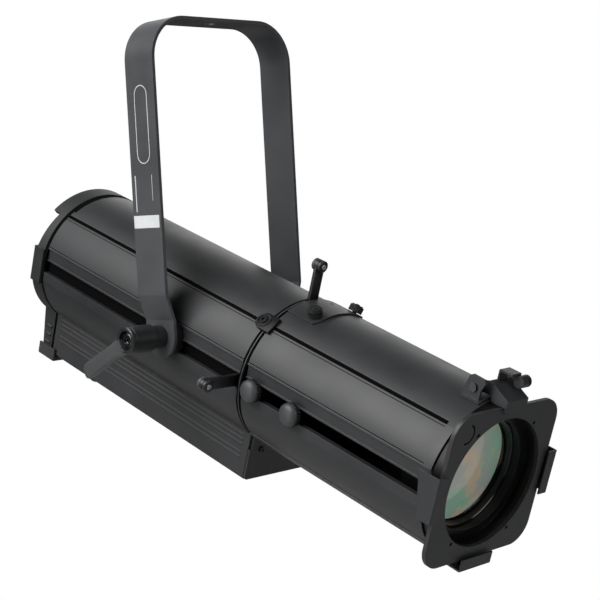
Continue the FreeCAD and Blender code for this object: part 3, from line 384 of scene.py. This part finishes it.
def hoop(outer, inner, low, high):
    """Closed band between two outlines with the same number of points."""
    mesh = bmesh.new()
    loops = [[mesh.verts.new((x, y, z)) for x, y in outline]
             for outline, z in ((outer, low), (outer, high), (inner, high), (inner, low))]
    for first, second in zip(loops, loops[1:] + loops[:1]):
        for k in range(len(outer)):
            n = (k + 1) % len(outer)
            mesh.faces.new((first[k], first[n], second[n], second[k]))
    return mesh


def joined(parts):
    """One mesh from (mesh, matrix) pairs."""
    whole = bmesh.new()
    for part, place in parts:
        data = bpy.data.meshes.new("part")
        part.to_mesh(data)
        part.free()
        data.transform(place)
        whole.from_mesh(data)
        bpy.data.meshes.remove(data)
    return whole


def piece(name, mesh, place, material, body, replaces=None):
    """Object in the row frame from a mesh in millimetres, riding on a body."""
    bmesh.ops.recalc_face_normals(mesh, faces=mesh.faces)
    data = bpy.data.meshes.new(name)
    mesh.to_mesh(data)
    mesh.free()
    data.transform(place)
    data.shade_smooth()
    data.set_sharp_from_angle(angle=SHARP)
    data.materials.append(material)
    shape = bpy.data.objects.new(name, data)
    bpy.context.scene.collection.objects.link(shape)
    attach(shape, body)
    if replaces:
        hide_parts(replaces)
    return shape


# Outlines in lamp X and Z, with local Z towards the front of the lamp.
ACROSS = face_frame((0, 0, 0), (1, 0, 0), (0, 0, 1))


def circle(radius, steps=24, x=0.0, y=0.0):
    return [(x + radius * cos(2 * pi * k / steps), y + radius * sin(2 * pi * k / steps))
            for k in range(steps)]


def rectangle(half_x, half_y, x=0.0, y=0.0):
    return [(x - half_x, y - half_y), (x + half_x, y - half_y), (x + half_x, y + half_y),
            (x - half_x, y + half_y)]


def arc_band(outer, inner, first, last, steps):
    """Outline of a thin arc between two radii, from one angle in degrees to another."""
    angles = [radians(first + (last - first) * k / steps) for k in range(steps + 1)]
    return [(r * cos(a), r * sin(a)) for r, way in ((outer, 1), (inner, -1)) for a in angles[::way]]


def stadium(half_x, half_y, steps=12):
    """Upright outline with half-round ends."""
    reach = half_y - half_x
    top = [(half_x * cos(pi * k / steps), reach + half_x * sin(pi * k / steps))
           for k in range(steps + 1)]
    return top + [(-x, -y) for x, y in top]


# ---- tilt clamp ---------------------------------------------------------
ROOT_FADE = 3.2                  # the lever's thick root is gone after 1 / 3.2 of its length
TIP_START, TIP_LENGTH = 0.88, 0.12   # round tip as shares of the lever's length
SQUARENESS = 0.62                # power that flattens the lever's oval section


def lever_arm(count=26, around=24):
    """Swept oval bar along Y, wider at its root and round at its tip."""
    arm = bmesh.new()
    rings = []
    for k in range(count + 1):
        t = k / count
        along = LEVER_ROOT + (LEVER_REACH + LEVER_TIP - LEVER_ROOT) * t
        root = max(0.0, 1 - ROOT_FADE * t) ** 2
        tip = sqrt(max(0.0, 1 - max(0.0, (t - TIP_START) / TIP_LENGTH) ** 2))
        wide = (6.3 + 1.1 * t + 2.6 * root) * max(tip, 0.05)
        thick = (4.3 - 0.5 * t + 0.5 * root) * max(tip, 0.05)
        ring = []
        for m in range(around):
            a = 2 * pi * m / around
            flat = [abs(v) ** SQUARENESS * (1 if v >= 0 else -1) for v in (cos(a), sin(a))]
            ring.append(arm.verts.new((flat[1] * thick, along, flat[0] * wide - 1.2 * root)))
        rings.append(ring)
    for low, high in zip(rings, rings[1:]):
        for m in range(around):
            n = (m + 1) % around
            arm.faces.new((low[m], low[n], high[n], high[m]))
    arm.faces.new(rings[0])
    arm.faces.new(rings[-1])
    return arm


def add_clamp():
    """Hub with a collar line and a dished end, its lever, and the screw sunk in the dish."""
    end = HUB_END - HUB_START
    r = HUB_RADIUS
    hub = lathe([(CLAMP_BORE, 0), (r - 0.8, 0), (r, 0.8), (r, end - 4.4), (r - 0.7, end - 4.1),
                 (r - 0.7, end - 3.5), (r, end - 3.2), (r, end - 1.0), (r - 0.9, end), (8.9, end),
                 (8.4, end - 0.6), (8.2, end - 6), (CLAMP_BORE, end - 6)], 64)
    place = Matrix.Translation((-HUB_END + 4.4, 0, 0)) @ Matrix.Rotation(-LEVER_DROOP, 4, "X")
    # The hub wears the darker, shaded copy of the lever's plastic as painted shade.
    piece("clamp_hub", hub, YOKE @ aim((-HUB_START, 0, 0), (-1, 0, 0)), HUB_SHADED,
          "clamp_handle", "clamp_handle")
    piece("clamp_lever", lever_arm(), YOKE @ place, LEVER, "clamp_handle")
    screw = lathe([(0, 1.5), (2.6, 1.5), (3.2, 2.2), (3.2, 4.0), (5.8, 4.0), (6.4, 3.5), (6.4, 0)], 48)
    piece("clamp_cap_screw", screw, YOKE @ aim((-HUB_END + 6, 0, 0), (-1, 0, 0)), OILED,
          "clamp_handle", "clamp_screw")


# ---- framing shutters ---------------------------------------------------
def add_shutter(name, plane, angle, end=98.0, middle=0.0, rear=GRIP_DEPTH, front=GRIP_DEPTH):
    """Blade, slim stem, and a grip made of two discs pulled together by a screw.

    The shutter is drawn upright in its plane and turned about the optical axis by an angle in
    degrees. The stem stands off to one side by middle and ends in the grip at a height of end. The
    grip reaches rear and front of the plane by those two depths.
    """
    half, thick = STEM_HALF
    blade = [(x, z) for x, z in circle(BLADE_RADIUS, 72) if z >= BLADE_EDGE]
    upright = face_frame((0, plane, 0), (1, 0, 0), (0, 0, 1))
    steel = joined([(slab(blade, -BLADE_HALF, BLADE_HALF), upright),
                    (slab(rectangle(half, (end - 52) / 2, middle, (end + 52) / 2), -thick, thick, 0.5),
                     upright),
                    (slab([(x + middle, z + end) for x, z in circle(half, 32)], -thick, thick),
                     upright)])
    turn = LAMP @ Matrix.Rotation(radians(angle), 4, "Y")
    body = f"shutter_{name}"
    piece(f"shutter_{name}_blade", steel, turn, BLACK_STEEL, body, body)
    for depth, way, paint in ((rear, 1, CAP_GREY), (front, -1, GRIP)):
        high = max(depth - thick, 0.8)
        dome = lathe([(0, high), (2.2, high - 0.15), (GRIP_RADIUS - 1.3, high - 0.2),
                      (GRIP_RADIUS, high - 0.9), (GRIP_RADIUS, 0.5), (GRIP_RADIUS - 0.5, 0), (0, 0)])
        piece(f"shutter_{name}_grip_{'rear' if way > 0 else 'front'}", dome,
              turn @ aim((middle, plane + way * thick, end), (0, way, 0)), paint, body)
    screw = lathe([(0, 0.1), (0.9, 0.1), (0.9, 0.6), (1.9, 0.6), (2.3, 0.2), (2.3, -0.4)], 24)
    piece(f"shutter_{name}_screw", screw, turn @ aim((middle, plane - front, end), (0, -1, 0)),
          STEEL, body)


# ---- front lens ---------------------------------------------------------
def add_front_lens():
    """Bulging front lens, held close behind the barrel's rim by a threaded ring."""
    r, steps = LENS_RADIUS, 14
    bulge = [(r * k / steps, 8.0 + 6.0 * (1 - (k / steps) ** 2)) for k in range(steps + 1)]
    hollow = [(r * k / steps, 1.5 * (k / steps) ** 2) for k in range(steps, -1, -1)]
    seat = LAMP @ aim((0, LENS_SEAT, 0), (0, -1, 0))
    piece("front_lens_glass", lathe(bulge + hollow, 96), seat, LENS, "lamp", "front_lens")
    ring = lathe([(r + 0.2, 2.0), (r - 0.4, 8.6), (r + 0.6, 9.6), (45.8, 13.5), (46.0, 15.8), (46.9, 16.6),
                  (47.5, 16.0), (47.5, 2.0), (r + 0.2, 2.0)], 96)
    piece("lens_retainer", ring, seat, GLOSS, "lamp")


# ---- knobs and thumbscrews ----------------------------------------------
def add_knobs():
    """Knurled rim behind a smooth domed end."""
    for name, place in KNOB_PLACES.items():
        at = LAMP @ aim((-KNOB_BACK, place, SLOT_MID), (-1, 0, 0))
        r = KNOB_RADIUS
        rim = lathe([(3.0, -12.0), (3.0, 0), (r - 0.8, 0), (r, 0.6), (r, 4.4), (r - 0.9, 4.9), (3.0, 4.9)],
                    96, ridged=(3, 4))
        piece(f"{name}_knob_rim", rim, at, GRIP, f"{name}_knob", f"{name}_knob")
        dome = lathe([(0, 9.9), (3.2, 9.7), (6.0, 9.1), (7.9, 8.1), (9.0, 6.8), (r - 0.35, 5.4),
                      (r - 0.4, 4.6), (r - 1.4, 4.5)], 64)
        piece(f"{name}_knob_dome", dome, at, CAP_GREY, f"{name}_knob")


# ---- printed marks, all blank, and a slot's painted shade ---------------
def add_marks():
    """Blank label, rules and a blank badge on the yoke, and the curved slot on the front plate drawn as a
    flat arc of painted shade.
    """
    leg = YOKE @ face_frame((-YOKE_HALF, 0, 0), (0, -1, 0), (0, 0, 1))
    label = slab(rectangle(17.0, 5.4, -1.0, 99.0), 0, INK)
    stripes = slab(rectangle(0.6, 15.5, -13.2, 123.2), 0, INK)
    thin = slab(rectangle(0.3, 11.0, 9.0, 127.7), 0, INK)
    badge = hoop([(x, y + 181.7) for x, y in stadium(8.6, 33.5)],
                 [(x, y + 181.7) for x, y in stadium(7.7, 32.6)], 0, INK)
    marks = joined([(mark, HERE) for mark in (label, stripes, thin, badge)])
    piece("yoke_blank_label", marks, leg, PRINT, "yoke")
    # Curved slot in the upper corner of the front plate, drawn as a flat dark arc of painted shade.
    edge = [(x - 47.4, z + 47.8) for x, z in arc_band(8.2, 6.8, 69.0, -103.0, 20)]
    plate = LAMP @ face_frame((0, PLATE_FRONT, 0), (1, 0, 0), (0, 0, 1))
    piece("plate_slot_painted_shade", slab(edge, 0, INK), plate, SHADE_BLACK, "lamp")


# ---- rear panel ---------------------------------------------------------
def add_rear_details():
    """Display bars, marks under the buttons, and the contacts and rings of the sockets."""
    panel = LAMP @ face_frame((0, PANEL_FACE, 0), (-1, 0, 0), (0, 0, 1))
    bars = [(slab(rectangle(w / 2, 0.9, 18 - w / 2, DISPLAY_HEIGHT + h), 0.6, 0.6 + INK), HERE)
            for w, h in ((26, 3.4), (18, 0.0), (31, -3.4))]
    piece("display_bars", joined(bars), panel, GLOW, "lamp")
    marks = []
    for k, x in enumerate((-18, -6, 6, 18)):
        spot = [(x + u, BUTTON_HEIGHT - 6.2 + v) for u, v in
                ([(-1.4, -0.4), (1.4, -0.4), (1.4, 0.4), (-1.4, 0.4)] if k in (0, 3) else
                 [(-1.3, -0.8), (1.3, -0.8), (0, 1.2)])]
        marks.append((slab(spot, 0, INK), HERE))
    piece("button_marks", joined(marks), panel, PRINT, "lamp")
    pins, cores = [], []
    for side in (-1, 1):
        x = side * SOCKET_SPREAD
        for k in range(PIN_COUNT):
            a = pi / 2 + 2 * pi * (k + 0.5) / PIN_COUNT
            pin = lathe([(0, 9.0), (0.5, 8.9), (0.85, 8.2), (0.85, 0)], 16)
            spot = (x + PIN_CIRCLE * cos(a), DATA_HEIGHT + PIN_CIRCLE * sin(a), SOCKET_DEPTH)
            pins.append((pin, Matrix.Translation(spot)))
        core = lathe([(0, 8.0), (3.6, 8.0), (4.2, 7.4), (4.2, 0)], 32)
        cores.append((core, Matrix.Translation((x, POWER_HEIGHT, SOCKET_DEPTH))))
    piece("data_pins", joined(pins), panel, BRASS, "lamp")
    piece("power_cores", joined(cores), panel, KNOB, "lamp")
    for name, side, material in (("in", -1, BLUE), ("out", 1, PALE)):
        ring = hoop(circle(13.0, 48, side * SOCKET_SPREAD, POWER_HEIGHT),
                    circle(10.6, 48, side * SOCKET_SPREAD, POWER_HEIGHT), 1.6, 2.1)
        piece(f"power_{name}_ring", ring, panel, material, "lamp")


def add_seam_clips():
    """Small round-backed plates over the seam, each with a raised rim and a socket screw."""
    half, back, front = 8.0, -91.5, 104.0
    round_end = [(half * cos(pi * k / 16), half * sin(pi * k / 16)) for k in range(17)]
    outline = [(x, back + y) for x, y in round_end] + [(-half, -front), (half, -front)]
    parts = []
    for side in (-1, 1):
        lean = radians(side * CLIP_LEAN)
        flat = face_frame((0, 0, 0), (cos(lean), 0, -sin(lean)), (0, 1, 0))
        top = Matrix.Translation((0, back, 0))
        rim = hoop(circle(6.6, 32), circle(5.2, 32), 68.6, 69.6)
        screw = lathe([(0, 69.2), (1.5, 69.2), (1.6, 70.6), (2.7, 70.6), (3.1, 70.2), (3.1, 68.6)], 32)
        parts += [(slab(outline, 65.4, 68.8, 0.5), flat), (rim, flat @ top), (screw, flat @ top)]
    piece("seam_clip_plates", joined(parts), LAMP, SEAM, "lamp", "seam_clips")


BLIND_SLOT = (59.4, -189.5, 84.0)    # depth of the rear slots' floor from the middle, and their run
FAR_SLOT = (57.4, 100.5, 302.0)      # the same for the front slot on the far side
BEAD_RUN = (96.1, 96.9)              # along the seam, forwards of the tilt axis
REAR_RUNS = ((-192.3, -188.6), (-189.0, -186.0))


def add_body_lines():
    """Painted shade and painted highlights along the body's grooves and edges, painted shade on the slots'
    floors and in the rear joint, and a bead on the seam painted pale as its highlight.
    """
    painted_shade_strips, light = [], []
    # Radius, upper and lower angle in degrees, and the lines that each band belongs to: dark bands are
    # painted shade in and beside the groove and under the channel's edge, light bands are painted highlights
    # along the edges.
    skin = TUBE + 0.05
    bands = [(TUBE - 0.7, 47.8, 45.8, painted_shade_strips), (skin, 45.8, 45.0, painted_shade_strips), (skin, 43.5, 43.0, painted_shade_strips),
             (skin, 48.6, 48.1, light), (skin, 16.3, 15.7, painted_shade_strips), (skin, 15.6, 15.1, light)]
    for start, stop in JOINT_RUNS:
        for side in (-1, 1):
            for radius, high, low, lines in bands:
                edge = arc_band(radius, radius - 0.3, high, low, 4)
                lines.append((slab([(side * x, z) for x, z in edge], -stop, -start), ACROSS))
    # Painted shade in the grooves and under the edges, and painted highlights along the edges.
    piece("groove_painted_shade", joined(painted_shade_strips), LAMP, SHADE_BLACK, "lamp")
    piece("edge_painted_highlights", joined(light), LAMP, EDGE, "lamp")
    depth, *run = BLIND_SLOT
    shade = [(slab(rectangle(0.3, 5.7, side * depth, SLOT_MID), *run), ACROSS) for side in (-1, 1)]
    piece("blind_slot_shade", joined(shade), LAMP, SHADE_BLACK, "lamp")
    # Raised bead on the seam, painted paler than the body as its highlight.
    bead = slab(arc_band(TUBE + 0.2, TUBE - 0.5, 97.0, 443.0, 120), *BEAD_RUN)
    piece("seam_bead", bead, LAMP @ ACROSS, EDGE, "lamp")
    # Dark strip of painted shade on the floor of the far front slot.
    depth, *run = FAR_SLOT
    far_slot_shade = slab(rectangle(0.25, 5.4, depth, SLOT_MID), *run)
    piece("slot_shade_far", far_slot_shade, LAMP @ ACROSS, SHADE_BLACK, "lamp")
    # Painted shade in the joint behind the rear cap and along the rear of the crown.
    cap_run, crown_run = REAR_RUNS
    rear = joined([(slab(arc_band(TUBE + 0.15, TUBE - 1.5, 4.0, 176.0, 60), *cap_run), ACROSS),
                   (slab(arc_band(TUBE + 0.1, TUBE - 0.6, 52.0, 128.0, 30), *crown_run), ACROSS)])
    piece("rear_joint_shade", rear, LAMP, SHADE_BLACK, "lamp")


add_clamp()
add_shutter("top", -97.0, 0, end=97.0)
add_shutter("bottom", -101.0, 150, rear=1.4, front=6.0)
add_shutter("near", -90.0, -90, middle=SLOT_MID)
add_shutter("far", -90.0, 90, middle=-SLOT_MID)
add_front_lens()
add_knobs()
add_marks()
add_rear_details()
add_seam_clips()
add_body_lines()


# ---- camera, floor and light --------------------------------------------
CAMERA_PLACE = (-0.8657, -0.9794, -0.1680)
CAMERA_TURN = (86.349, 2.964, -44.676)           # degrees
CAMERA_LENS, CAMERA_SENSOR = 87.63, 36.0         # millimetres
FLOOR_HEIGHT, FLOOR_RADIUS = -1.1, 2.2
# Name, place, target and size in metres, and power in watts.
SOFT_BOXES = (
    ("key", (-1.65, 0.2, 1.3), (0, -0.2, -0.3), (2.2, 1.9), 78),
    ("side", (-2.4, 0.6, -0.5), (0, 0, -0.3), (1.5, 1.2), 12),
    ("rim", (1.6, 1.6, 0.9), (0, 0, -0.25), (2.4, 1.6), 18),
    ("fill", (0.2, -2.2, 0.1), (0, -0.3, -0.4), (1.2, 1.2), 14),
)


def add_camera():
    """Camera at the photograph's viewing angle."""
    data = bpy.data.cameras.new("camera")
    data.sensor_width = CAMERA_SENSOR
    data.lens = CAMERA_LENS
    camera = bpy.data.objects.new("camera", data)
    camera.location = CAMERA_PLACE
    camera.rotation_euler = Euler([radians(a) for a in CAMERA_TURN])
    bpy.context.scene.collection.objects.link(camera)
    bpy.context.scene.camera = camera


def add_area(name, place, target, size, power):
    """Soft box that shines from a place towards a target."""
    data = bpy.data.lights.new(name, "AREA")
    data.shape = "RECTANGLE"
    data.size, data.size_y = size
    data.energy = power
    light = bpy.data.objects.new(name, data)
    light.location = place
    light.rotation_euler = (Vector(target) - Vector(place)).to_track_quat("-Z", "Y").to_euler()
    light.visible_camera = False
    bpy.context.scene.collection.objects.link(light)


def seen_white(tree, shader, output):
    """Plain white wherever the background itself is seen, and the given shader for its light."""
    path = tree.nodes.new("ShaderNodeLightPath")
    white = tree.nodes.new("ShaderNodeBackground" if output.type == "OUTPUT_WORLD" else "ShaderNodeEmission")
    white.inputs["Color"].default_value = (1, 1, 1, 1)
    white.inputs["Strength"].default_value = 1.0
    mix = tree.nodes.new("ShaderNodeMixShader")
    tree.links.new(path.outputs["Is Camera Ray"], mix.inputs[0])
    tree.links.new(shader.outputs[0], mix.inputs[1])
    tree.links.new(white.outputs[0], mix.inputs[2])
    tree.links.new(mix.outputs[0], output.inputs["Surface"])


def add_stage():
    """Round pale floor well below the hanging lamp."""
    material, tree, shader = new_tree("studio_white")
    shader.inputs["Base Color"].default_value = (0.5, 0.5, 0.5, 1)
    shader.inputs["Roughness"].default_value = 0.9
    seen_white(tree, shader, tree.nodes["Material Output"])
    mesh = bmesh.new()
    bmesh.ops.create_circle(mesh, cap_ends=True, segments=96, radius=FLOOR_RADIUS)
    data = bpy.data.meshes.new("studio_floor")
    mesh.to_mesh(data)
    mesh.free()
    data.materials.append(material)
    floor = bpy.data.objects.new("studio_floor", data)
    floor.location = (0, 0, FLOOR_HEIGHT)
    bpy.context.scene.collection.objects.link(floor)


def add_world():
    """White studio: dim below, brighter overhead."""
    world = bpy.data.worlds.new("studio")
    world.use_nodes = True
    tree = world.node_tree
    sky = tree.nodes["Background"]
    coords = tree.nodes.new("ShaderNodeTexCoord")
    split = tree.nodes.new("ShaderNodeSeparateXYZ")
    tree.links.new(coords.outputs["Generated"], split.inputs[0])
    low = remap(tree, split.outputs["Z"], SKY_FLOOR, SKY_LEVEL, -0.6, 0.1)
    high = remap(tree, split.outputs["Z"], 0.0, SKY_TOP - SKY_LEVEL, 0.1, 0.9)
    tree.links.new(math_node(tree, "ADD", low, high), sky.inputs["Strength"])
    seen_white(tree, sky, tree.nodes["World Output"])
    bpy.context.scene.world = world
    bpy.context.scene.view_settings.view_transform = "Standard"


add_camera()
add_stage()
add_world()
for soft_box in SOFT_BOXES:
    add_area(*soft_box)
